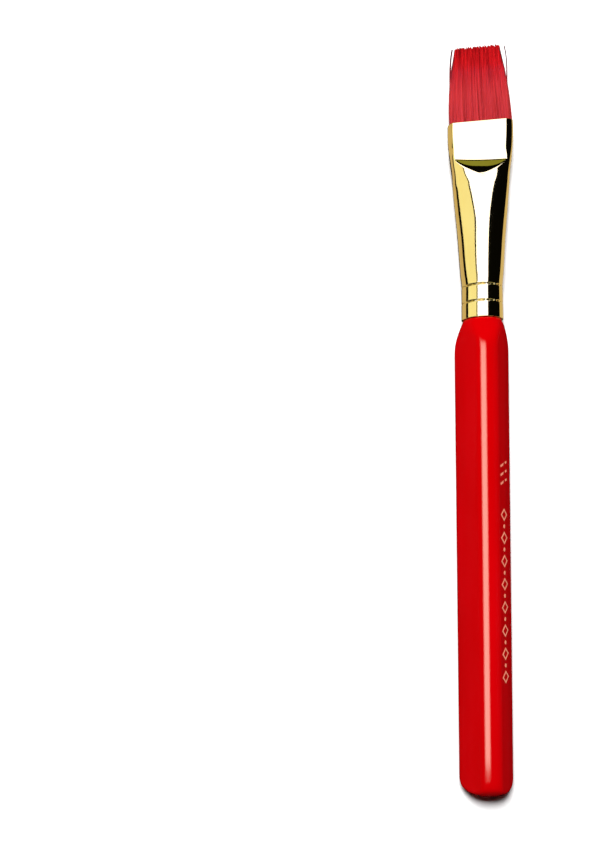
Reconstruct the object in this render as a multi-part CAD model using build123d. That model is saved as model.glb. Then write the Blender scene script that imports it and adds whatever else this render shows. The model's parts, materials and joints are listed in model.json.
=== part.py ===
"""Flat synthetic-filament brush with a lacquered triangular handle and a pinched metal ferrule.

The brush lies on one face of its handle. X is its width, Y runs along it towards the filaments and
Z is up. The origin is the middle of its footprint, on the surface that it lies on.
Every piece is first built about the brush's own axis, with y = 0 at the butt of the handle and
z = 0 on the axis, and is moved into that frame as it is written. All sizes are in millimetres.
"""

import os
from math import cos, hypot, radians, sin, sqrt, tan

from build123d import *

# Handle: a rounded triangular prism whose two ends are turned round.
HANDLE_LENGTH = 121.0
HANDLE_WIDTH = 13.7
CORNER_RADIUS = 3.3
COAT = 0.25
TURNED_RADIUS = 7.65
DOME_RADIUS = 9.3
SHOULDER_LENGTH = 8.0
SHOULDER_BULGE_RADIUS = 45.0
NECK_RADIUS = 4.7
NECK_SEAT = 1.2
TENON_LENGTH = 17.0
TENON_CHAMFER = 0.8

# Ferrule: a round collar with two crimps, then a taper that is pinched flat at the mouth.
FERRULE_LENGTH = 50.0
COLLAR_RADIUS = 5.3
COLLAR_LENGTH = 8.5
WALL = 0.35
HEM_LENGTH = 0.4
CRIMP_PLACES = (4.1, 7.9)
CRIMP_DEPTH = 0.28
CRIMP_WIDTH = 0.9
MOUTH_HALF_THICKNESS = 2.2
PINCH_START = 40.5
PINCH_ANGLE = radians(28)
MOUTH_SLANT = 4.5  # degrees, the mouth's right end further along the brush

# Half width and half thickness of the unpinched taper, at distances from the ferrule's rim.
TAPER = (
    (COLLAR_LENGTH, COLLAR_RADIUS, COLLAR_RADIUS),
    (25.5, 6.7, 4.75),
    (41.0, 8.1, 4.1),
    (54.0, 8.3, 3.9),
)

# What the ferrule holds: the filaments' roots, tied and set in resin.
FIT = 0.03
ROOT_PROUD = 0.7
BUNDLE_BUTT = 23.5
BUNDLE = (
    (BUNDLE_BUTT, 5.0, 3.3),
    (28.0, 5.0, 3.3),
    (33.0, 6.0, 3.3),
    (42.0, 9.0, 3.9),
    (56.0, 9.5, 3.9),
)
RESIN_FROM, RESIN_TO = 22.0, 33.0
THREAD_RADIUS = 0.25
THREAD_TURNS = 5
THREAD_PITCH = 0.56
THREAD_START = 24.6

# Free part of the tuft, which bends about a line just outside the mouth.
TUFT_LENGTH = 19.0
TUFT_WIDTH = 15.4
TUFT_THICKNESS = 3.5
HINGE_RISE = 1.9
SOCKET_GAP = 0.12
TUFT_BELLY_AT = 11.0
TUFT_BELLY_WIDTH = 14.4
TUFT_BELLY_THICKNESS = 3.0
TIP_WIDTH = 11.2
TIP_THICKNESS = 1.1
TIP_SHIFT = 0.4

# Foil marks: a plain row of open lozenges and dots, and three bars, on the handle's right face.
FOIL = 0.04
FOIL_RISE = 1.2
FOIL_ROW_START = 71.5
FOIL_ROW_PITCH = 2.9
FOIL_ROW_COUNT = 15
LOZENGE_LENGTH, LOZENGE_HEIGHT = 3.2, 4.2
LOZENGE_STROKE = 0.42
DOT_RADIUS = 0.5
BARS_AT = 82.0
BAR_PITCH = 2.2
BAR_LENGTH, BAR_HEIGHT = 0.55, 4.2
BAR_SLOPE = 18

# Worked out from the above.
CORNER_CIRCLE = (HANDLE_WIDTH - 2 * CORNER_RADIUS) / sqrt(3)
AXIS_HEIGHT = CORNER_CIRCLE / 2 + CORNER_RADIUS
MOUTH = HANDLE_LENGTH + FERRULE_LENGTH
TIP_CORNER = TIP_SHIFT + TIP_WIDTH / 2
OVERALL_LENGTH = (
    MOUTH
    + TUFT_LENGTH * cos(radians(MOUTH_SLANT))
    + TIP_CORNER * sin(radians(MOUTH_SLANT))
)
HINGE_RADIUS = TUFT_THICKNESS / 2
BIG = 40.0

HEAD = Pos(0, MOUTH, 0) * Rot(0, 0, MOUTH_SLANT)  # its Y runs out of the mouth


def across(y):
    """The plane across the brush at y, with its own Y up."""
    return Plane(origin=(0, y, 0), x_dir=(-1, 0, 0), z_dir=(0, 1, 0))


def turned(*edges):
    """The solid of revolution about the brush's axis of a closed outline of radius and place."""
    return revolve(make_face(edges), Axis.Y, 360)


def handle_envelope(inset, top):
    """The turned outline of the handle, inset all over and cut off square at top."""
    side_radius, neck = TURNED_RADIUS - inset, NECK_RADIUS - inset
    dome_top = DOME_RADIUS - sqrt((DOME_RADIUS - inset) ** 2 - side_radius**2)
    dome = RadiusArc((0, inset), (side_radius, dome_top), inset - DOME_RADIUS)
    side = Line(dome @ 1, (side_radius, HANDLE_LENGTH - SHOULDER_LENGTH))
    shoulder = RadiusArc(side @ 1, (neck, HANDLE_LENGTH), -SHOULDER_BULGE_RADIUS)
    seat = Line(shoulder @ 1, (neck, top))
    end = Line(seat @ 1, (0, top))
    return turned(dome, side, shoulder, seat, end, Line(end @ 1, dome @ 0))


def handle_body(inset, top):
    """The triangular prism, turned at both ends."""
    triangle = RegularPolygon(AXIS_HEIGHT, 3, major_radius=False, rotation=90)
    section = across(-1) * fillet(triangle.vertices(), CORNER_RADIUS)
    section = offset(section, -inset) if inset else section
    return extrude(section, top + 2) & handle_envelope(inset, top)


def handle_core():
    """The wooden core with its round tenon."""
    tenon = Pos(0, HANDLE_LENGTH, 0) * Rot(-90, 0, 0) * Cylinder(
        NECK_RADIUS - COAT, TENON_LENGTH, align=(Align.CENTER, Align.CENTER, Align.MIN)
    )
    tenon = chamfer(tenon.edges().sort_by(Axis.Y)[-1], TENON_CHAMFER)
    return handle_body(COAT, HANDLE_LENGTH + NECK_SEAT) + tenon


def lacquer_coat(core):
    """The coat over all of the core that shows."""
    return handle_body(0, HANDLE_LENGTH + NECK_SEAT) - core


def collar_line(radius, start, stop):
    """Edges along the collar's wall from start to stop, dipping at each crimp."""
    edges, at = [], (radius, start)
    for place in CRIMP_PLACES:
        before = (radius, HANDLE_LENGTH + place - CRIMP_WIDTH / 2)
        middle = (radius - CRIMP_DEPTH, HANDLE_LENGTH + place)
        after = (radius, HANDLE_LENGTH + place + CRIMP_WIDTH / 2)
        edges += [Line(at, before), ThreePointArc(before, middle, after)]
        at = after
    return edges + [Line(at, (radius, stop))]


def collar():
    """The ferrule's round, crimped end, with a hem turned in at the rim."""
    inner, hem = COLLAR_RADIUS - WALL, NECK_RADIUS + FIT
    rim, top = HANDLE_LENGTH, HANDLE_LENGTH + COLLAR_LENGTH
    hem_top = rim + HEM_LENGTH
    return turned(
        *collar_line(COLLAR_RADIUS, rim, top),
        Line((COLLAR_RADIUS, top), (inner, top)),
        *collar_line(inner, hem_top, top),
        Line((inner, hem_top), (hem, hem_top)),
        Line((hem, hem_top), (hem, rim)),
        Line((hem, rim), (COLLAR_RADIUS, rim)),
    )


def oval_loft(stations, inset):
    """A loft through ellipses, each of which is a distance from the rim and two half axes."""
    return loft(
        [
            across(HANDLE_LENGTH + at) * Ellipse(half_width - inset, half_height - inset)
            for at, half_width, half_height in stations
        ]
    )


def pinch(inset):
    """What the pinching dies leave: a slab at the mouth that opens out towards the handle."""
    start = PINCH_START - inset * tan(PINCH_ANGLE / 2)
    flat = MOUTH_HALF_THICKNESS - inset
    open_at = start - (COLLAR_RADIUS + 1 - flat) / tan(PINCH_ANGLE)
    upper = [(-1, COLLAR_RADIUS + 1), (open_at, COLLAR_RADIUS + 1), (start, flat), (BIG * 2, flat)]
    lower = [(at, -height) for at, height in reversed(upper)]
    side = Plane(origin=(0, HANDLE_LENGTH, 0), x_dir=(0, 1, 0), z_dir=(1, 0, 0))
    return extrude(side * make_face(Polyline(*upper, *lower, close=True)), BIG, both=True)


def beyond_mouth(rise):
    """All that lies more than rise outside the mouth."""
    return HEAD * Pos(0, rise, 0) * Box(
        BIG, BIG, BIG, align=(Align.CENTER, Align.MIN, Align.CENTER)
    )


def taper(inset):
    """The tapered, pinched outline of the ferrule, inset all over and not yet cut at the mouth."""
    return oval_loft(TAPER, inset) & pinch(inset)


def ferrule():
    """The seamless metal sleeve."""
    return collar() + (taper(0) - taper(WALL) - beyond_mouth(0))


def filament_root():
    """The held part of the filaments, with a round socket in its end for the free part."""
    socket = HEAD * Pos(0, HINGE_RISE, 0) * Rot(0, 90, 0) * Cylinder(HINGE_RADIUS + SOCKET_GAP, BIG)
    held = oval_loft(BUNDLE, 0) & taper(WALL + FIT)
    return held - beyond_mouth(ROOT_PROUD) - socket


def root_thread():
    """The turns of thread that tie the filaments' butt ends."""
    half_width, half_height = (size + THREAD_RADIUS + 2 * FIT for size in BUNDLE[0][1:])
    rings = []
    for turn in range(THREAD_TURNS):
        station = across(HANDLE_LENGTH + THREAD_START + turn * THREAD_PITCH)
        path = (station * Ellipse(half_width, half_height)).edge()
        rings.append(sweep(Plane(path @ 0, z_dir=path % 0) * Circle(THREAD_RADIUS), path))
    return rings


def resin_plug(root, rings):
    """The resin that sets the tied filaments in the ferrule."""
    slab = Pos(0, HANDLE_LENGTH + RESIN_FROM, 0) * Box(
        BIG, RESIN_TO - RESIN_FROM, BIG, align=(Align.CENTER, Align.MIN, Align.CENTER)
    )
    return (taper(WALL + FIT) & slab) - root - rings


def tenon_glue():
    """The glue between the tenon and the collar, which the crimps squeeze."""
    tenon, outer = NECK_RADIUS - COAT + FIT / 2, COLLAR_RADIUS - WALL - FIT / 2
    bottom = HANDLE_LENGTH + NECK_SEAT + FIT
    top = HANDLE_LENGTH + COLLAR_LENGTH
    return turned(
        *collar_line(outer, bottom, top),
        Line((outer, top), (tenon, top)),
        Line((tenon, top), (tenon, bottom)),
        Line((tenon, bottom), (outer, bottom)),
    )


def tuft_section(rise, width, thickness, shift=0.0):
    """A section of the free tuft at a height above the mouth, in the head's frame."""
    plane = Plane(origin=(shift, rise, 0), x_dir=(-1, 0, 0), z_dir=(0, 1, 0))
    return plane * RectangleRounded(width, thickness, thickness * 0.4)


def filament_tuft():
    """The free part of the filaments, round at its base so that it can bend."""
    blade = loft(
        [
            tuft_section(HINGE_RISE, TUFT_WIDTH, TUFT_THICKNESS),
            tuft_section(TUFT_BELLY_AT, TUFT_BELLY_WIDTH, TUFT_BELLY_THICKNESS),
            tuft_section(TUFT_LENGTH, TIP_WIDTH, TIP_THICKNESS, TIP_SHIFT),
        ]
    )
    knuckle_length = TUFT_WIDTH - TUFT_THICKNESS
    knuckle = Pos(0, HINGE_RISE, 0) * Rot(0, 90, 0) * Cylinder(HINGE_RADIUS, knuckle_length)
    return HEAD * (blade + knuckle)


def rhombus(share):
    """A lozenge whose diagonals are this share of the full size."""
    half_length, half_height = share * LOZENGE_LENGTH / 2, share * LOZENGE_HEIGHT / 2
    corners = [(half_length, 0), (0, half_height), (-half_length, 0), (0, -half_height)]
    return make_face(Polyline(*corners, close=True))


def foil_marks():
    """Foil stamped on the handle's right face, nearer its ridge: three slanting bars and lozenges."""
    face = Plane(
        origin=(AXIS_HEIGHT * cos(radians(30)), 0, AXIS_HEIGHT * sin(radians(30))),
        x_dir=(0, 1, 0),
        z_dir=(cos(radians(30)), 0, sin(radians(30))),
    )
    side = hypot(LOZENGE_LENGTH, LOZENGE_HEIGHT) / 2
    lozenge = rhombus(1) - rhombus(1 - 4 * LOZENGE_STROKE * side / (LOZENGE_LENGTH * LOZENGE_HEIGHT))
    shapes = []
    for place in range(FOIL_ROW_COUNT):
        shape = Circle(DOT_RADIUS) if place % 2 else lozenge
        shapes.append(Pos(FOIL_ROW_START - place * FOIL_ROW_PITCH, FOIL_RISE) * shape)
    for bar in range(3):
        shape = Rot(0, 0, BAR_SLOPE) * Rectangle(BAR_LENGTH, BAR_HEIGHT)
        shapes.append(Pos(BARS_AT + (bar - 1) * BAR_PITCH, FOIL_RISE) * shape)
    return [extrude(face * shape, FOIL) for shape in shapes]


def write(name, shapes):
    """Writes one sub-part, moved from the brush's axis to its place on the surface."""
    place = Pos(0, -OVERALL_LENGTH / 2, AXIS_HEIGHT)
    solids = [solid for shape in shapes for solid in (place * shape).solids()]
    export_step(solids[0] if len(solids) == 1 else Compound(children=solids), f"parts/{name}.step")
    print(name, len(solids), "solids", round(sum(solid.volume for solid in solids), 2), "mm3")


def main():
    os.makedirs("parts", exist_ok=True)
    core = handle_core()
    root = filament_root()
    rings = root_thread()
    write("handle_core", [core])
    write("lacquer_coat", [lacquer_coat(core)])
    write("foil_marks", foil_marks())
    write("ferrule", [ferrule()])
    write("tenon_glue", [tenon_glue()])
    write("filament_root", [root])
    write("root_thread", rings)
    write("resin_plug", [resin_plug(root, rings)])
    write("filament_tuft", [filament_tuft()])
    hinge = Pos(0, -OVERALL_LENGTH / 2, AXIS_HEIGHT) * HEAD * Pos(0, HINGE_RISE, 0)
    print("hinge at", hinge.position, "length", OVERALL_LENGTH, "axis height", AXIS_HEIGHT)


main()
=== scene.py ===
"""Looks of a flat brush: glossy red lacquer, a polished gold-coloured ferrule and red filaments.

Shapes are worked out in millimetres about the brush's own axis, with y = 0 at the butt of the
handle and z = 0 on the axis, and are then moved to the frame's place, in metres.
"""

import json
from math import atan2, cos, pi, radians, sin, sqrt, tan

import bpy
import numpy as np
from mathutils import Euler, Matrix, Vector

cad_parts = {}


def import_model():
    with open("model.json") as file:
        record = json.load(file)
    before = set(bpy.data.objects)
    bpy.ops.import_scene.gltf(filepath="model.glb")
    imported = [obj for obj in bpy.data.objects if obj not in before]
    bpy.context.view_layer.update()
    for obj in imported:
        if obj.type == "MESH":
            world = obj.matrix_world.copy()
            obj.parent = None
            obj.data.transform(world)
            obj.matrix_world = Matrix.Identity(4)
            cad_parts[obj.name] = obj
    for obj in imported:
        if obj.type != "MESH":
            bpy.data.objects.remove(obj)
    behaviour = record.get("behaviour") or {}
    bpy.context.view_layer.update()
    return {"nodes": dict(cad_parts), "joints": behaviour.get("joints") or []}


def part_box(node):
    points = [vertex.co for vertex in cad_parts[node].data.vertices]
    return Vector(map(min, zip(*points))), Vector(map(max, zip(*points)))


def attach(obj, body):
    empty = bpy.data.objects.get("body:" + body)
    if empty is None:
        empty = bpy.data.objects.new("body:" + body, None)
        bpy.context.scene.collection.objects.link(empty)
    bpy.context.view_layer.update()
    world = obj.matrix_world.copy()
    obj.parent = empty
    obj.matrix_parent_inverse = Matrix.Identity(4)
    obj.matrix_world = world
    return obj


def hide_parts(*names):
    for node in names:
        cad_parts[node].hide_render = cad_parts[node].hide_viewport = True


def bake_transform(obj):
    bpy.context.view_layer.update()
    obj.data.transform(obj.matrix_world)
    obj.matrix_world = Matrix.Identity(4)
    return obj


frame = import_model()

MM = 0.001
HINGE = frame["joints"][0]
COAT_BOX, FERRULE_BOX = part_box("lacquer_coat"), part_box("ferrule")

# Places read from the frame.
BUTT = COAT_BOX[0].y
AXIS_HEIGHT = HINGE["pos_m"][2] / MM
HANDLE_LENGTH = (FERRULE_BOX[0].y - BUTT) / MM
HANDLE_WIDTH = (COAT_BOX[1].x - COAT_BOX[0].x) / MM
SLANT = atan2(HINGE["axis"][1], HINGE["axis"][0])

# Handle, as in the CAD model, with softened edges and a swell in its two upper faces.
CORNER_RADIUS = 3.3
CORNER_CIRCLE = (HANDLE_WIDTH - 2 * CORNER_RADIUS) / sqrt(3)
TURNED_RADIUS = 7.65
DOME_START, DOME_LENGTH = 0.4, 5.0
DOME_SQUARENESS = 2.15
DOME_ROWS, DOME_FIRST_ANGLE = 44, 0.02
SHOULDER_LENGTH = 8.4
SHOULDER_BULGE = 0.1
SHOULDER_EASE = 0.25
NECK_RADIUS = 4.75
NECK_SEAT = 1.2
EDGE_SOFTNESS = 0.8
FACE_BULGE = 0.2
COAT = 0.25
TENON_LENGTH = 17.0
HANDLE_COLUMNS = 288

# Ferrule, as in the CAD model, with the marks that the crimping and pinching leave.
FERRULE_LENGTH = 50.0
WALL = 0.35
RIM_ROUNDING, LIP_ROUNDING, MOUTH_EDGE = 0.1, 0.14, 0.02
INNER_DEPTH, INNER_ROWS = 5.0, 14
FERRULE_COLUMNS = 320

# Hem: its hole, then for each ring how far it lies inside the rim and how far out from the hole.
HEM_RADIUS = NECK_RADIUS + 0.04
HEM_RINGS = [(0.35, 0.0), (0.08, 0.0), (0.0, 0.1)]

# Crimps: the wheel's coarse and fine bites are shares of the groove's depth.
CRIMP_PLACES = (4.1, 8.2)
CRIMP_DEPTH, CRIMP_WIDTH = 0.19, 0.17
CRIMP_SQUARENESS = 2.6
COARSE_BITE, FINE_BITE = 0.6, 0.4

# Pinch: a flat mouth, and behind it a slanting facet that comes to a point a little left of centre.
MOUTH_HALF_THICKNESS = 2.2
PINCH_START, PINCH_LENGTH = 40.2, 3.0
PINCH_ANGLE = radians(29)
PINCH_BOW, BOW_REACH = 0.25, 7.2
POINT, POINT_REACH, POINT_EASE = -1.2, 8.0, 0.08
CREASE_SOFTNESS, CORNER_SOFTNESS = 0.12, 0.15
POINT_SOFTNESS, POINT_END = 0.3, PINCH_START - 0.5
SLANT_START = PINCH_START + 1

# How full the mouth's two sides are, and how much squarer its left side is before and in the pinch.
MOUTH_SIDES = (4.5, 3.0)
LEFT_BEFORE, LEFT_IN_PINCH = 0.7, -0.2
LEFT_STRETCH = (33, 40)

# The section's distance from the rim, half width, half thickness and squareness (2 is an ellipse).
TAPER = np.array(
    [
        (0.0, 5.22, 5.22, 2.0),
        (8.5, 5.16, 5.16, 2.0),
        (11.5, 5.42, 5.08, 2.0),
        (22.0, 6.14, 4.8, 2.0),
        (29.0, 6.76, 4.45, 2.0),
        (34.0, 7.16, 4.04, 2.1),
        (37.5, 7.36, 3.55, 2.3),
        (40.5, 7.76, 3.4, 2.3),
        (44.0, 8.16, 3.4, 2.3),
        (47.5, 8.32, 3.4, 2.3),
        (52.0, 8.2, 3.4, 2.3),
    ]
)

# Tuft, in the head's frame: x across, rise along the filaments from the mouth, z up.
TUFT_LENGTH = 19.6
ROOT_NARROWING = 0.95
ROOT_HALF_WIDTH, ROOT_HALF_THICKNESS = 7.75, 1.72
TIP_HALF_THICKNESS, THINNING_CURVE = 0.5, 1.5
BELLY, BELLY_RATE = 0.14, 2.2
EDGE_ROUNDNESS, EDGE_THINNEST = 8, 0.15
LEFT_LEAN, LEFT_CURVE = 2.95, 1.9
RIGHT_LEAN, RIGHT_CURVE, RIGHT_OVERHANG = 1.4, 2.6, 0.25

# Filaments: their number, their shape, and how unevenly they are cut.
FILAMENTS, FILAMENT_COLUMNS = 3000, 50
FILAMENT_RADIUS, FILAMENT_SPREAD, FILAMENT_TAPER = 0.1, (0.8, 1.15), 0.72
FILAMENT_RINGS = (-0.2, 0.0, 0.1, 0.2, 0.3, 0.42, 0.68, 1.0)
FILAMENT_SIDES, FILAMENT_TURN = 4, 0.4
FILAMENT_UNEVENNESS = 0.22
WANDER, WANDER_WAVES = 0.09, (0.6, 1.6)
SCATTER = 0.3
SEED = 11

# Clumps: how much nearer across than up a filament looks for one, and how far it is drawn in.
CLUMP_COLUMNS, CLUMP_LAYERS = 34, 6
CLUMP_SCATTER = 0.2
CLUMP_UNEVENNESS = 0.3
ACROSS_WEIGHT = 400
GATHER, GATHER_CURVE = (0.3, 0.9), 1.7

# Stray hairs, and dark hairs that hug the tuft's sides as painted shade along its edges: side, how
# far out the tip stands, height, length and radius of each.
HAIRS = [
    (-1, 0.95, 0.5, 19.2, 0.3),
    (-1, 0.6, 0.9, 17.2, 0.22),
    (-1, 0.2, 0.4, 14.6, 0.13),
    (1, 1.5, 0.2, 19.2, 0.19),
    (1, 0.1, 0.9, 18.6, 0.17),
    (1, 0.25, 0.4, 16.5, 0.2),
]
HAIR_INSET, HAIR_PARTING = 0.3, 0.35
HAIR_FALL, HAIR_TAPER = 0.6, 0.35
HAIR_RINGS = 12

# Camera: nearly square on, a little nearer the butt, with the brush at the right of the picture.
FOCAL_LENGTH, SENSOR = 42.2, 36.0
CAMERA_DISTANCE = 0.254
CAMERA_LEAN = radians(0.65)
CAMERA_RISE = 0.13
AIM = (-0.04695, -0.00062)

# Studio. Each card's rows are as card() says.
PAPER_SIZE, PAPER_GAP = 1.8, 0.00005
ROOM, BACKDROP = (0.002, 0.002, 0.002, 1), (0.95, 0.95, 0.95, 1)
CARD_DISTANCE, CARD_COLUMNS = 0.5, 24
HANDLE_PIECES = ("handle_lacquer", "foil_stamp")
HEAD_PIECES = ("ferrule_gold", "tuft_filaments", "stray_and_edge_shade_hairs")
OLIVE = (0.9, 1.0, 0.27)
WARM = (1.0, 1.0, 0.8)
COOL = (0.54, 0.58, 1.3)
AMBER = (1.0, 0.82, 0.66)
STRIP_EDGES = [(-0.2, -56, 2), (0.36, -56, 2)]
SOFTBOX_EDGES = [
    (0.1, -36, 20),
    (0.15, -36, 21),
    (0.24, -19, 26),
    (0.29, -25, 34),
    (0.33, -36, 38),
    (0.44, -56, 47),
]
LEFT_EDGES = [
    (0.1, -94, -42),
    (0.15, -94, -42),
    (0.24, -72, -24.5),
    (0.29, -70, -31),
    (0.33, -70, -42.5),
    (0.44, -78, -63),
]
LEFT_RIM_EDGES = [(-1.5, -160, -112), (0.15, -160, -112), (0.24, -160, -84), (0.5, -160, -80)]
RIGHT_RIM_EDGES = [(-1.5, 100, 160), (0.1, 100, 160), (0.26, 104, 160), (0.5, 110, 160)]
NEAR_EDGES = [(-1.8, -75, 75), (-0.35, -75, 75)]


def place(points):
    """Moves points from the brush's axis to the frame, in metres."""
    return np.asarray(points) * MM + np.array([0, BUTT, AXIS_HEIGHT * MM])


def head(across, rise, up):
    """Points given in the head's frame, about the brush's axis."""
    mouth = HANDLE_LENGTH + FERRULE_LENGTH
    x = across * cos(SLANT) - rise * sin(SLANT)
    y = across * sin(SLANT) + rise * cos(SLANT) + mouth
    return np.stack([x, y, up + 0 * x], axis=-1)


def smooth_min(a, b, softness):
    """The smaller of two lengths, with the corner between them rounded."""
    blend = np.clip(1 - np.abs(a - b) / softness, 0, 1)
    return np.minimum(a, b) - blend**2 * softness / 4


def smooth_step(x, low, high):
    """Rises gently from 0 to 1 between two places."""
    t = np.clip((x - low) / (high - low), 0, 1)
    return t * t * (3 - 2 * t)


def steps(*stretches):
    """Places along the brush: each stretch is its start, its end and how many places it has."""
    return np.concatenate([np.linspace(a, b, n, endpoint=False) for a, b, n in stretches])


def new_object(name, points, faces):
    """A smooth-shaded mesh object from points in millimetres about the axis."""
    mesh = bpy.data.meshes.new(name)
    mesh.from_pydata(place(points).tolist(), [], faces)
    mesh.shade_smooth()
    mesh.validate()
    made = bpy.data.objects.new(name, mesh)
    bpy.context.scene.collection.objects.link(made)
    return made


def ring_faces(rings, columns, start=0):
    """Quads that join closed rings of points, ring after ring."""
    ring, column = np.meshgrid(np.arange(rings - 1), np.arange(columns), indexing="ij")
    after = (column + 1) % columns
    corners = [
        ring * columns + column,
        (ring + 1) * columns + column,
        (ring + 1) * columns + after,
        ring * columns + after,
    ]
    return (np.stack(corners, axis=-1).reshape(-1, 4) + start).tolist()


# ---------------------------------------------------------------- handle


def prism_radius(angle):
    """The rounded triangle's radius in each direction, with a corner straight up."""
    third = 2 * pi / 3
    off_corner = np.abs((angle - pi / 2 + third / 2) % third - third / 2)
    reach = np.sqrt(np.maximum(CORNER_RADIUS**2 - (CORNER_CIRCLE * np.sin(off_corner)) ** 2, 0))
    rounded = CORNER_CIRCLE * np.cos(off_corner) + reach
    tangent = atan2(
        CORNER_RADIUS * sin(third / 2), CORNER_CIRCLE + CORNER_RADIUS * cos(third / 2)
    )
    return np.where(off_corner > tangent, AXIS_HEIGHT / np.cos(third / 2 - off_corner), rounded)


def swell(angle):
    """How far the two upper faces swell out of flat, in each direction."""
    above_lower_corners = np.sin(angle) > sin(-pi / 6)
    return FACE_BULGE / 2 * (1 + np.sin(3 * angle)) * above_lower_corners


def turned_radius(along):
    """The radius to which the dome, the sides, the shoulder and the neck are turned."""
    up = 1 - np.clip((along - DOME_START) / DOME_LENGTH, 0, 1)
    dome = TURNED_RADIUS * (1 - up**DOME_SQUARENESS) ** (1 / DOME_SQUARENESS)
    down = np.clip((along - HANDLE_LENGTH + SHOULDER_LENGTH) / SHOULDER_LENGTH, 0, 1)
    down = np.where(down < SHOULDER_EASE, down**2 / 2 / SHOULDER_EASE, down - SHOULDER_EASE / 2)
    down = down / (1 - SHOULDER_EASE / 2)
    bulge = SHOULDER_BULGE * 4 * down * (1 - down)
    return dome + (NECK_RADIUS - TURNED_RADIUS) * down + bulge


def handle_mesh(name, stretches, inset):
    """The handle's closed surface, from its butt over these stretches, inset all over."""
    opening = np.linspace(DOME_FIRST_ANGLE, pi / 2, DOME_ROWS, endpoint=False)
    dome = DOME_START + DOME_LENGTH * (1 - np.cos(opening))
    along = np.concatenate([dome, steps(*stretches)])
    angle = np.linspace(0, 2 * pi, HANDLE_COLUMNS, endpoint=False)
    y, turn = np.meshgrid(along, angle, indexing="ij")
    radius = smooth_min(prism_radius(turn) + swell(turn), turned_radius(y), EDGE_SOFTNESS)
    radius = np.maximum(radius - inset, 0)
    points = np.stack([radius * np.cos(turn), y + inset, radius * np.sin(turn)], axis=-1)
    points = points.reshape(-1, 3)
    poles = [[0, DOME_START + inset, 0], [0, along[-1] + inset, 0]]
    butt, end = len(points), len(points) + 1
    last = len(points) - HANDLE_COLUMNS
    fans = []
    for i in range(HANDLE_COLUMNS):
        after = (i + 1) % HANDLE_COLUMNS
        fans += [[butt, i, after], [end, last + after, last + i]]
    faces = ring_faces(len(along), HANDLE_COLUMNS) + fans
    return new_object(name, np.vstack([points, poles]), faces)


def handle_lacquer():
    """The lacquered handle from its butt to just inside the ferrule."""
    shoulder = HANDLE_LENGTH - SHOULDER_LENGTH
    stretches = [
        (DOME_START + DOME_LENGTH, 9, 14),
        (9, shoulder - 3, 46),
        (shoulder - 3, HANDLE_LENGTH, 70),
        (HANDLE_LENGTH, HANDLE_LENGTH + NECK_SEAT + 0.1, 4),
    ]
    return handle_mesh("handle_lacquer", stretches, 0)


def handle_wood():
    """The wooden core under the lacquer, with the tenon that goes into the ferrule."""
    neck = HANDLE_LENGTH
    stretches = [(DOME_START + DOME_LENGTH, neck, 60), (neck, neck + TENON_LENGTH, 6)]
    return handle_mesh("handle_wood", stretches, COAT)


def foil_stamp():
    """The foil marks, moved out with the face that they are stamped on."""
    marks = frame["nodes"]["foil_marks"]
    points = np.array([marks.matrix_world @ vertex.co for vertex in marks.data.vertices])
    points = (points - place([0, 0, 0])) / MM
    angle = np.arctan2(points[:, 2], points[:, 0])
    points[:, 0] += swell(angle) * np.cos(angle)
    points[:, 2] += swell(angle) * np.sin(angle)
    made = new_object("foil_stamp", points, [list(face.vertices) for face in marks.data.polygons])
    made.data.shade_flat()
    return made


# ---------------------------------------------------------------- ferrule


def section(along):
    """The section's half width, half thickness and squareness, before it is pinched."""
    places, sizes = TAPER[:, 0], TAPER[:, 1:]
    slopes = np.gradient(sizes, places, axis=0)
    slopes[0] = slopes[1] = 0
    index = np.clip(np.searchsorted(places, along, side="right") - 1, 0, len(places) - 2)
    span = places[index + 1] - places[index]
    t = ((along - places[index]) / span)[..., None]
    span = span[..., None]
    found = (
        (2 * t**3 - 3 * t**2 + 1) * sizes[index]
        + (t**3 - 2 * t**2 + t) * span * slopes[index]
        + (3 * t**2 - 2 * t**3) * sizes[index + 1]
        + (t**3 - t**2) * span * slopes[index + 1]
    )
    return found[..., 0], found[..., 1], found[..., 2]


def flatten(along, x, z, inset):
    """Presses the section flat at the mouth, with a slanting facet and a soft edge behind it."""
    bowed = np.clip(1 - ((x - POINT) / BOW_REACH) ** 2, 0, 1)
    pointed = np.clip(1 - np.abs(x - POINT) / POINT_REACH, 0, 1)
    slope = tan(PINCH_ANGLE) * (1 - POINT_EASE * pointed)
    short = (PINCH_START - PINCH_BOW * bowed - along) * slope
    flat = MOUTH_HALF_THICKNESS - smooth_min(0 * short, -short, CREASE_SOFTNESS) - inset
    softness = CORNER_SOFTNESS + POINT_SOFTNESS * pointed * (along < POINT_END)
    return np.sign(z) * smooth_min(np.abs(z), flat, softness)


def crimp(along, turn):
    """The crimps' grooves, with the small uneven bites of the crimping wheel."""
    depth = 0
    for number, middle in enumerate(CRIMP_PLACES):
        off = np.abs(along - middle) / CRIMP_WIDTH
        coarse = COARSE_BITE * np.sin(19 * turn + number) * np.sin(5 * turn)
        bites = 1 + coarse + FINE_BITE * np.sin(11 * turn)
        depth = depth + CRIMP_DEPTH * bites * np.exp(-(off**CRIMP_SQUARENESS))
    return depth


def ferrule_rows():
    """Distances from the rim of the rows of points, closest where the shape turns fastest."""
    quarter = np.linspace(0, pi / 2, 9)
    rim = RIM_ROUNDING * (1 - np.cos(quarter[:-1]))
    lip = FERRULE_LENGTH - LIP_ROUNDING * (1 - np.sin(quarter))
    middle = steps(
        (RIM_ROUNDING, 3, 20),
        (3, 9.2, 110),
        (9.2, 34, 48),
        (34, 38.5, 34),
        (38.5, 41.5, 40),
        (41.5, FERRULE_LENGTH - LIP_ROUNDING, 24),
    )
    return np.concatenate([rim, middle, lip])


def rounding(past_edge, radius):
    """How far a rounded edge falls back, at places along its last stretch."""
    past_edge = np.clip(past_edge, 0, radius)
    return radius - np.sqrt(radius**2 - past_edge**2)


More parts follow.
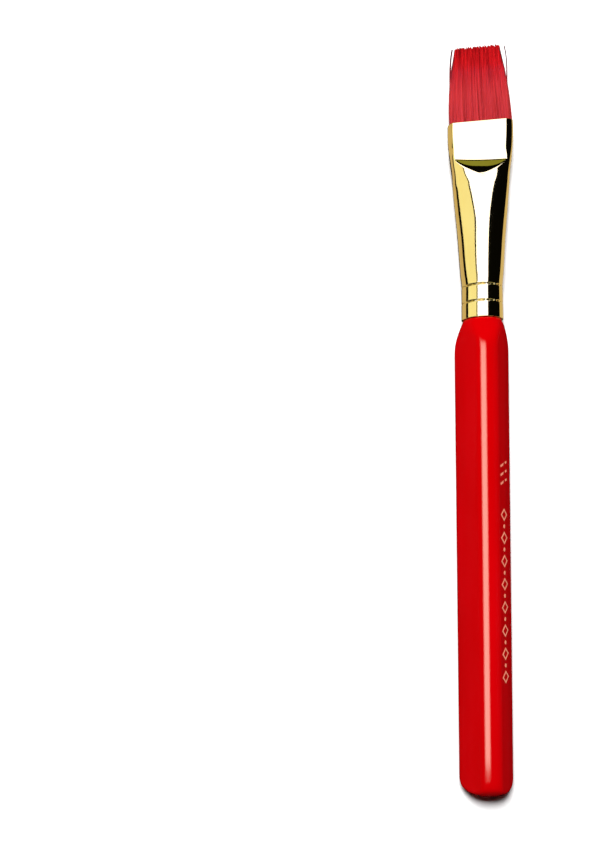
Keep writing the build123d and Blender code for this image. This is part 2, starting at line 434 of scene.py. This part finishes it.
def sleeve(along, turn, inset):
    """Points on the ferrule's wall in the direction of each turn, inset from its outside."""
    half_width, half_height, squareness = section(along)
    across, up = np.cos(turn), np.sin(turn)
    to_left = across < 0
    side = np.where(to_left, *MOUTH_SIDES)
    pinched = smooth_step(along, PINCH_START, PINCH_START + PINCH_LENGTH)
    squarer = LEFT_BEFORE * smooth_step(along, *LEFT_STRETCH) * (1 - pinched)
    squareness = squareness + to_left * (squarer + LEFT_IN_PINCH * pinched)
    half_height = half_height + (side - half_height) * pinched
    x = (half_width - inset) * np.sign(across) * np.abs(across) ** (2 / squareness)
    z = (half_height - inset) * np.sign(up) * np.abs(up) ** (2 / squareness)
    z = flatten(along, x, z, inset)
    slanted = smooth_step(along, SLANT_START, FERRULE_LENGTH)
    y = HANDLE_LENGTH + along + slanted * x * tan(SLANT)
    return np.stack([x, y, z], axis=-1)


def ferrule_gold():
    """The sleeve from its hemmed rim, over the crimps and the pinch, and back inside the mouth."""
    turn = np.linspace(0, 2 * pi, FERRULE_COLUMNS, endpoint=False)
    along, around = np.meshgrid(ferrule_rows(), turn, indexing="ij")
    rim = rounding(RIM_ROUNDING - along, RIM_ROUNDING)
    lip = rounding(along - FERRULE_LENGTH + LIP_ROUNDING, LIP_ROUNDING)
    outside = sleeve(along, around, crimp(along, around) + rim + lip)
    inner = np.linspace(FERRULE_LENGTH - MOUTH_EDGE, FERRULE_LENGTH - INNER_DEPTH, INNER_ROWS)
    inside = sleeve(*np.meshgrid(inner, turn, indexing="ij"), WALL)
    depths, margins = np.array(HEM_RINGS).T
    y, angle = np.meshgrid(HANDLE_LENGTH + depths, turn, indexing="ij")
    radius = (HEM_RADIUS + margins)[:, None]
    hem = np.stack([radius * np.cos(angle), y, radius * np.sin(angle)], axis=-1)
    rings = np.concatenate([hem, outside, inside])
    faces = ring_faces(len(rings), FERRULE_COLUMNS)
    return new_object("ferrule_gold", rings.reshape(-1, 3), faces)


# ---------------------------------------------------------------- filaments


def edge_of_tuft(side, t):
    """The tuft's left or right edge, at a share t of its length."""
    left = -ROOT_HALF_WIDTH + LEFT_LEAN * t**LEFT_CURVE
    right = ROOT_HALF_WIDTH + RIGHT_OVERHANG - RIGHT_LEAN * t**RIGHT_CURVE
    return np.where(side < 0, left, right)


def tuft_path(u, w, t):
    """Where a filament rooted at u across and w up, -1 to 1, is at a share t of its length."""
    middle = (edge_of_tuft(1, t) + edge_of_tuft(-1, t)) / 2
    half = (edge_of_tuft(1, t) - edge_of_tuft(-1, t)) / 2
    belly = ROOT_HALF_THICKNESS + BELLY * np.sin(pi * np.clip(t * BELLY_RATE, 0, 1))
    thickness = belly + (TIP_HALF_THICKNESS - ROOT_HALF_THICKNESS) * t**THINNING_CURVE
    edge_thinning = np.sqrt(np.maximum(1 - np.abs(u) ** EDGE_ROUNDNESS, EDGE_THINNEST))
    return middle + half * u, thickness * w * edge_thinning


def filament_mesh(name, x, rise, z, radius):
    """Thin tapered tubes. Each array has a row for each filament and a column for each ring."""
    count, rings = x.shape
    around = np.arange(FILAMENT_SIDES) * 2 * pi / FILAMENT_SIDES + FILAMENT_TURN
    points = head(
        x[..., None] + radius[..., None] * np.cos(around),
        rise[..., None] + 0 * around,
        z[..., None] + radius[..., None] * np.sin(around),
    )
    one = ring_faces(rings, FILAMENT_SIDES)
    end = list(range((rings - 1) * FILAMENT_SIDES, rings * FILAMENT_SIDES))
    size = rings * FILAMENT_SIDES
    quads = np.array(one + [end[::-1]])
    faces = (quads[None] + np.arange(count)[:, None, None] * size).reshape(-1, 4).tolist()
    return new_object(name, points.reshape(-1, 3), faces)


def clump_places(rng):
    """Where the clumps are: columns across the tuft in layers through it, none quite in line."""
    column, layer = np.meshgrid(np.arange(CLUMP_COLUMNS), np.arange(CLUMP_LAYERS))
    column = column + rng.uniform(-SCATTER, SCATTER, column.shape) + (layer % 2) / 2
    layer = layer + rng.uniform(-CLUMP_SCATTER, CLUMP_SCATTER, layer.shape)
    across = (column + 0.5) * 2 / (CLUMP_COLUMNS + 0.5) - 1
    up = np.sin((layer / (CLUMP_LAYERS - 1) - 0.5) * pi)
    return across.ravel(), up.ravel()


def tuft_filaments():
    """All the filaments, gathered into small clumps that part towards the tip."""
    rng = np.random.default_rng(SEED)
    column = np.arange(FILAMENTS) % FILAMENT_COLUMNS
    scatter = rng.uniform(-SCATTER, SCATTER, FILAMENTS)
    u = (column + 0.5 + scatter) * 2 / FILAMENT_COLUMNS - 1
    w = np.sin(rng.uniform(-pi / 2, pi / 2, FILAMENTS))
    clump_u, clump_w = clump_places(rng)
    apart = (u[:, None] - clump_u) ** 2 * ACROSS_WEIGHT + (w[:, None] - clump_w) ** 2
    nearest = np.argmin(apart, axis=1)
    pull = rng.uniform(*GATHER, len(clump_u))[nearest]
    clump_short = np.abs(rng.normal(0, CLUMP_UNEVENNESS, len(clump_u)))[nearest]
    short = np.abs(rng.normal(0, FILAMENT_UNEVENNESS, FILAMENTS))
    length = TUFT_LENGTH - clump_short - short
    share = np.array(FILAMENT_RINGS)[None]
    t = np.clip(share, 0, 1)
    gather = pull[:, None] * t**GATHER_CURVE
    u_t = u[:, None] * (1 - gather) + clump_u[nearest][:, None] * gather
    w_t = w[:, None] * (1 - gather) + clump_w[nearest][:, None] * gather
    x, z = tuft_path(u_t, w_t, t)
    x = np.where(share < 0, x * ROOT_NARROWING, x)
    waves = rng.uniform(*WANDER_WAVES, (FILAMENTS, 1))
    wander = rng.normal(0, WANDER, (FILAMENTS, 1)) * np.sin(t * pi * waves) * t
    rise = share * length[:, None]
    taper = FILAMENT_RADIUS * (1 - FILAMENT_TAPER * t**3)
    radius = taper * rng.uniform(*FILAMENT_SPREAD, (FILAMENTS, 1))
    return filament_mesh("tuft_filaments", x + wander, rise, z, radius)


def stray_and_edge_shade_hairs():
    """A few filaments that stand off the sides of the tuft; those that stand off little are dark
    lines along its edges, painted shade.
    """
    t = np.linspace(0, 1, HAIR_RINGS)
    rows = {"x": [], "rise": [], "z": [], "radius": []}
    for side, stand_off, height, length, radius in HAIRS:
        edge = edge_of_tuft(np.array(side), t) - side * HAIR_INSET
        rows["x"].append(edge + side * stand_off * smooth_step(t, HAIR_PARTING, 1.0))
        rows["rise"].append(t * length)
        rows["z"].append(height * (1 - HAIR_FALL * t))
        rows["radius"].append(radius * (1 - HAIR_TAPER * t))
    return filament_mesh("stray_and_edge_shade_hairs", *(np.array(row) for row in rows.values()))


# ---------------------------------------------------------------- materials


def new_material(name, **values):
    """A material whose shader has these values, and that shader."""
    made = bpy.data.materials.new(name)
    made.use_nodes = True
    shader = made.node_tree.nodes["Principled BSDF"]
    for socket, value in values.items():
        shader.inputs[socket.replace("_", " ")].default_value = value
    return made, shader


def add_node(made, kind, **settings):
    """A new node of this kind, with these settings."""
    node = made.node_tree.nodes.new(kind)
    for key, value in settings.items():
        setattr(node, key, value)
    return node


def noise(made, size, detail=3.0, coordinates="Object", roughness=0.5):
    """Noise whose patches have this size in millimetres, or in shares of the box if Generated."""
    unit = MM if coordinates == "Object" else 1
    source = add_node(made, "ShaderNodeTexCoord")
    stretch = add_node(made, "ShaderNodeMapping")
    stretch.inputs["Scale"].default_value = [1 / (length * unit) for length in size]
    texture = add_node(made, "ShaderNodeTexNoise")
    texture.inputs["Scale"].default_value = 1
    texture.inputs["Detail"].default_value = detail
    texture.inputs["Roughness"].default_value = roughness
    made.node_tree.links.new(source.outputs[coordinates], stretch.inputs["Vector"])
    made.node_tree.links.new(stretch.outputs["Vector"], texture.inputs["Vector"])
    return texture.outputs["Fac"]


def place_in_box(made):
    """Where a point lies in its piece's box, from 0 to 1 in each direction: X, Y and Z."""
    source = add_node(made, "ShaderNodeTexCoord")
    split = add_node(made, "ShaderNodeSeparateXYZ")
    made.node_tree.links.new(source.outputs["Generated"], split.inputs["Vector"])
    return split.outputs


def ramp(made, factor, stops, socket):
    """Turns a factor into colours or greys at these places and feeds them to a socket."""
    node = add_node(made, "ShaderNodeValToRGB")
    elements = node.color_ramp.elements
    while len(elements) < len(stops):
        elements.new(0.5)
    for element, (position, value) in zip(elements, stops):
        element.position = position
        grey = not isinstance(value, tuple)
        element.color = (value,) * 3 + (1,) if grey else value + (1,)
    made.node_tree.links.new(factor, node.inputs["Fac"])
    made.node_tree.links.new(node.outputs["Color"], socket)
    return node


def bump(made, shader, height, depth):
    """Bumps of this depth in millimetres."""
    node = add_node(made, "ShaderNodeBump")
    node.inputs["Distance"].default_value = depth * MM
    made.node_tree.links.new(height, node.inputs["Height"])
    made.node_tree.links.new(node.outputs["Normal"], shader.inputs["Normal"])


def red_lacquer():
    """Deep red gloss, with the slight waves of a dipped coat."""
    made, shader = new_material("red_lacquer", IOR=1.5)
    patches = noise(made, (9, 30, 9), detail=2)
    colours = [(0.3, (0.45, 0.0, 0.0008)), (0.7, (0.5, 0.0003, 0.002))]
    ramp(made, patches, colours, shader.inputs["Base Color"])
    smears = noise(made, (2.5, 14, 2.5), detail=4)
    ramp(made, smears, [(0.3, 0.06), (0.75, 0.1)], shader.inputs["Roughness"])
    bump(made, shader, noise(made, (3.5, 22, 3.5), detail=1), 0.012)
    return made


def gold_metal():
    """Polished gold-coloured metal with fine lines round it from polishing, and a few scuffs."""
    made, shader = new_material("gold_metal", Metallic=1.0)
    tint = noise(made, (4, 9, 4), detail=3)
    colours = [(0.3, (0.97, 0.75, 0.22)), (0.7, (1.0, 0.81, 0.26))]
    ramp(made, tint, colours, shader.inputs["Base Color"])
    scuffs = noise(made, (0.9, 0.25, 0.9), detail=6, roughness=0.7)
    ramp(made, scuffs, [(0.45, 0.035), (0.8, 0.16)], shader.inputs["Roughness"])
    bump(made, shader, noise(made, (1.6, 0.5, 1.6), detail=4), 0.0035)
    return made


def filament_red():
    """Red synthetic filament, streaked along its length and purer red towards its tip, with painted
    light in its colour: the paler, pinker roots are a painted sheen, the brighter pure red of the
    tips is painted light shining through them, and the dark streaks, strongest towards the tip, are
    partly the filaments' own unevenness and partly painted shade in the gaps between clumps.
    """
    made, shader = new_material("filament_red", IOR=1.5, Roughness=0.4, Specular_IOR_Level=0.15)
    # Streaks: partly the filaments' own unevenness, partly painted shade between clumps, strongest
    # towards the tip.
    streaks_and_gap_shade = noise(made, (0.006, 0.9, 0.4), detail=2, coordinates="Generated")
    base = add_node(made, "ShaderNodeMix", data_type="RGBA")
    # Painted sheen: the roots are paler and pinker than the filament's own red.
    roots_with_painted_sheen = [
        (0.36, (0.35, 0.016, 0.018)),
        (0.5, (0.41, 0.022, 0.022)),
        (0.64, (0.47, 0.028, 0.027)),
    ]
    # Painted light: the tips' brightest red stands for light shining through them, and their
    # darkest red is painted shade between clumps.
    tips_with_painted_glow_and_shade = [
        (0.4, (0.15, 0.001, 0.002)),
        (0.5, (0.37, 0.004, 0.006)),
        (0.6, (0.55, 0.008, 0.011)),
    ]
    ramp(made, streaks_and_gap_shade, roots_with_painted_sheen, base.inputs["A"])
    ramp(made, streaks_and_gap_shade, tips_with_painted_glow_and_shade, base.inputs["B"])
    along = add_node(made, "ShaderNodeMapRange", interpolation_type="SMOOTHSTEP")
    along.inputs["From Min"].default_value = 0.4
    along.inputs["From Max"].default_value = 0.85
    made.node_tree.links.new(place_in_box(made)["Y"], along.inputs["Value"])
    made.node_tree.links.new(along.outputs["Result"], base.inputs["Factor"])
    made.node_tree.links.new(base.outputs["Result"], shader.inputs["Base Color"])
    return made


def painted_shade_filament():
    """A single red filament, darkened towards its tip as painted shade where it stands alone
    against a pale ground; the same dark red draws the painted shade along the tuft's edges.
    """
    made, shader = new_material("painted_shade_filament", IOR=1.5, Roughness=0.4, Specular_IOR_Level=0.15)
    colours = [(0.35, (0.4, 0.02, 0.02)), (0.62, (0.2, 0.01, 0.012)), (0.78, (0.07, 0.007, 0.01))]
    ramp(made, place_in_box(made)["Y"], colours, shader.inputs["Base Color"])
    return made


def foil():
    """Stamped pinkish foil, worn thin in places."""
    made, shader = new_material("foil", Metallic=0.1, Roughness=0.3)
    wear = noise(made, (0.5, 0.5, 0.5), detail=5, roughness=0.7)
    colours = [(0.34, (0.75, 0.05, 0.03)), (0.44, (1.0, 0.36, 0.22))]
    ramp(made, wear, colours, shader.inputs["Base Color"])
    return made


def beech():
    """Pale wood with its grain along the handle."""
    made, shader = new_material("beech", Roughness=0.6)
    grain = noise(made, (0.5, 14, 0.5), detail=6, roughness=0.6)
    colours = [(0.3, (0.5, 0.3, 0.15)), (0.7, (0.74, 0.54, 0.34))]
    ramp(made, grain, colours, shader.inputs["Base Color"])
    bump(made, shader, grain, 0.03)
    return made


def set_resin(name, dark, pale):
    """A cured resin or glue, a little cloudy."""
    made, shader = new_material(name, Roughness=0.2)
    cloud = noise(made, (1.2, 1.2, 1.2), detail=3)
    ramp(made, cloud, [(0.3, dark), (0.7, pale)], shader.inputs["Base Color"])
    return made


def thread():
    """Twisted off-white thread."""
    made, shader = new_material("thread", Roughness=0.8)
    twist = noise(made, (0.1, 0.3, 0.1), detail=4)
    colours = [(0.3, (0.55, 0.52, 0.44)), (0.7, (0.85, 0.83, 0.76))]
    ramp(made, twist, colours, shader.inputs["Base Color"])
    bump(made, shader, twist, 0.05)
    return made


def white_paper():
    """The matt surface that the brush lies on."""
    made, shader = new_material("white_paper", Roughness=0.9, Specular_IOR_Level=0.0)
    fibres = noise(made, (3, 3, 3), detail=4)
    ramp(made, fibres, [(0.3, 0.88), (0.7, 0.9)], shader.inputs["Base Color"])
    return made


def dress(target, made):
    """Gives an object one material."""
    target.data.materials.clear()
    target.data.materials.append(made)


# ---------------------------------------------------------------- object


def stiff_piece(made, material, node):
    """Dresses a piece that stands for a CAD node and rides on the brush."""
    dress(made, material)
    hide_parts(node)
    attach(made, "brush")


def build_pieces():
    """Makes the visible pieces and dresses them, hides the CAD nodes that they stand for, and hangs
    the stiff ones on the brush.
    """
    stiff_piece(handle_lacquer(), red_lacquer(), "lacquer_coat")
    stiff_piece(handle_wood(), beech(), "handle_core")
    stiff_piece(foil_stamp(), foil(), "foil_marks")
    stiff_piece(ferrule_gold(), gold_metal(), "ferrule")

    tuft, strays_and_edge_shade = tuft_filaments(), stray_and_edge_shade_hairs()
    dress(tuft, filament_red())
    # The hairs' dark red is painted shade along the tuft's edges and at their tips.
    dress(strays_and_edge_shade, painted_shade_filament())
    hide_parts("filament_tuft", "filament_root")
    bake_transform(tuft)
    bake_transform(strays_and_edge_shade)


def dress_frame():
    """Materials for the CAD nodes that are shown as they are."""
    nodes = frame["nodes"]
    dress(nodes["tenon_glue"], set_resin("glue", (0.7, 0.6, 0.36), (0.8, 0.72, 0.5)))
    dress(nodes["resin_plug"], set_resin("resin", (0.3, 0.13, 0.03), (0.46, 0.24, 0.07)))
    dress(nodes["root_thread"], thread())


# ---------------------------------------------------------------- studio


def shows_only_in(light, *names):
    """Lets a light reach only these pieces, and hides it from the camera."""
    light.visible_camera = False
    receivers = bpy.data.collections.new(light.name + "_receivers")
    for name in names:
        receivers.objects.link(bpy.data.objects[name])
    light.light_linking.receiver_collection = receivers


def area_light(name, lean, distance, size, radiance, tint=(1, 1, 1)):
    """A rectangular light that faces the brush from a distance in metres.

    It leans from straight up by two angles in degrees, towards +X and towards +Y.
    """
    data = bpy.data.lights.new(name, "AREA")
    data.shape = "RECTANGLE"
    data.size, data.size_y = size
    data.energy = radiance * pi * size[0] * size[1]
    data.color = tint
    made = bpy.data.objects.new(name, data)
    turn = Euler((-radians(lean[1]), radians(lean[0]), 0), "XYZ")
    made.location = turn.to_matrix() @ Vector((0, 0, distance))
    made.rotation_euler = turn
    bpy.context.scene.collection.objects.link(made)
    return made


def glow(name, radiance, tint, edge, fade):
    """A see-through material that shines.

    It fades over a share (edge) of its width at each side, and one (fade) of its length at its far
    end. Without an edge it shines evenly.
    """
    made = bpy.data.materials.new(name)
    made.use_nodes = True
    nodes, links = made.node_tree.nodes, made.node_tree.links
    nodes.remove(nodes["Principled BSDF"])
    light = add_node(made, "ShaderNodeEmission")
    clear = add_node(made, "ShaderNodeBsdfTransparent")
    both = add_node(made, "ShaderNodeAddShader")
    light.inputs["Color"].default_value = (*tint, 1)
    light.inputs["Strength"].default_value = radiance
    links.new(light.outputs["Emission"], both.inputs[0])
    links.new(clear.outputs["BSDF"], both.inputs[1])
    links.new(both.outputs["Shader"], nodes["Material Output"].inputs["Surface"])
    if edge:
        across, along, _ = place_in_box(made)
        dark = (0.0, 0.0, 0.0)
        stops = [(0.0, dark), (edge, tint), (1 - edge, tint), (1.0, dark)]
        sides = ramp(made, across, stops, light.inputs["Color"])
        sides.color_ramp.interpolation = "EASE"
        end = add_node(made, "ShaderNodeMapRange", interpolation_type="SMOOTHSTEP")
        end.inputs["From Min"].default_value = 1 - fade
        end.inputs["To Min"].default_value = radiance
        end.inputs["To Max"].default_value = 0
        links.new(along, end.inputs["Value"])
        links.new(end.outputs["Result"], light.inputs["Strength"])
    return made


def card(name, edges, radiance, receivers, tint=(1, 1, 1), edge=0.0, fade=0.0):
    """A glowing sheet bent round the brush, which shows only in the gloss of its receivers.

    Each row of edges is a place along the brush and the angles there of the sheet's two sides, in
    degrees from straight up, to the right.
    """
    along, left, right = np.array(edges).T[:, :, None]
    angle = np.radians(left + (right - left) * np.linspace(0, 1, CARD_COLUMNS + 1))
    x = CARD_DISTANCE * np.sin(angle)
    z = CARD_DISTANCE * np.cos(angle) + AXIS_HEIGHT * MM
    corners = np.stack([x, along + 0 * x, z], axis=-1).reshape(-1, 3)
    row, column = np.meshgrid(np.arange(len(edges) - 1), np.arange(CARD_COLUMNS), indexing="ij")
    first = (row * (CARD_COLUMNS + 1) + column).ravel()
    above = first + CARD_COLUMNS + 1
    quads = np.stack([first, first + 1, above + 1, above], axis=-1)
    mesh = bpy.data.meshes.new(name)
    mesh.from_pydata(corners.tolist(), [], quads.tolist())
    mesh.materials.append(glow(name, radiance, tint, edge, fade))
    made = bpy.data.objects.new(name, mesh)
    bpy.context.scene.collection.objects.link(made)
    made.visible_diffuse = made.visible_transmission = made.visible_shadow = False
    shows_only_in(made, *receivers)


def lights():
    """Cards for the reflections, a broad key from beyond the tuft, and a fill for the handle."""
    card("handle_strip", STRIP_EDGES, 9, HANDLE_PIECES, WARM, edge=0.3, fade=0.54)
    card("softbox", SOFTBOX_EDGES, 3.6, HEAD_PIECES, COOL)
    card("left_card", LEFT_EDGES, 0.97, HEAD_PIECES)
    card("left_rim", LEFT_RIM_EDGES, 0.6, HEAD_PIECES, AMBER)
    card("right_rim", RIGHT_RIM_EDGES, 0.64, HEAD_PIECES, AMBER)
    card("near_card", NEAR_EDGES, 0.6, HEAD_PIECES)
    far_card = area_light("far_card", (0, 80), 0.6, (1.2, 0.17), 0.27, OLIVE)
    far_card.visible_diffuse = False
    shows_only_in(far_card, *HEAD_PIECES)
    key = area_light("key", (-11, 22), 1.0, (0.28, 0.24), 80)
    fill = area_light("fill", (60, 0), 1.0, (0.5, 0.5), 1.7)
    fill.data.use_shadow = False
    shows_only_in(fill, *HANDLE_PIECES)
    for light in (key, fill):
        light.visible_glossy = light.visible_camera = False


def world():
    """A dark room, with plain white where the camera sees past the paper."""
    made = bpy.data.worlds.new("studio")
    bpy.context.scene.world = made
    made.use_nodes = True
    nodes, links = made.node_tree.nodes, made.node_tree.links
    seen = nodes.new("ShaderNodeLightPath")
    plain = nodes.new("ShaderNodeMix")
    plain.data_type = "RGBA"
    plain.inputs["A"].default_value = ROOM
    plain.inputs["B"].default_value = BACKDROP
    links.new(seen.outputs["Is Camera Ray"], plain.inputs["Factor"])
    links.new(plain.outputs["Result"], nodes["Background"].inputs["Color"])


def paper():
    """The sheet of white paper under the brush, which the gloss doesn't mirror."""
    mesh = bpy.data.meshes.new("floor")
    half = PAPER_SIZE / 2
    corners = [(-half, -half, 0), (half, -half, 0), (half, half, 0), (-half, half, 0)]
    mesh.from_pydata(corners, [], [(0, 1, 2, 3)])
    made = bpy.data.objects.new("floor", mesh)
    made.location = (0, 0, -PAPER_GAP)
    bpy.context.scene.collection.objects.link(made)
    dress(made, white_paper())
    made.visible_glossy = False


def camera():
    """Looks straight down on the brush, turned so that the brush leans a little to the left."""
    data = bpy.data.cameras.new("camera")
    data.lens, data.sensor_width, data.shift_y = FOCAL_LENGTH, SENSOR, CAMERA_RISE
    made = bpy.data.objects.new("camera", data)
    below = CAMERA_RISE * CAMERA_DISTANCE * SENSOR / FOCAL_LENGTH
    made.location = (AIM[0], AIM[1] - below, AXIS_HEIGHT * MM + CAMERA_DISTANCE)
    made.rotation_euler = (0, 0, -CAMERA_LEAN)
    bpy.context.scene.collection.objects.link(made)
    bpy.context.scene.camera = made


camera()
build_pieces()
dress_frame()
paper()
lights()
world()
bpy.context.scene.view_settings.view_transform = "Standard"
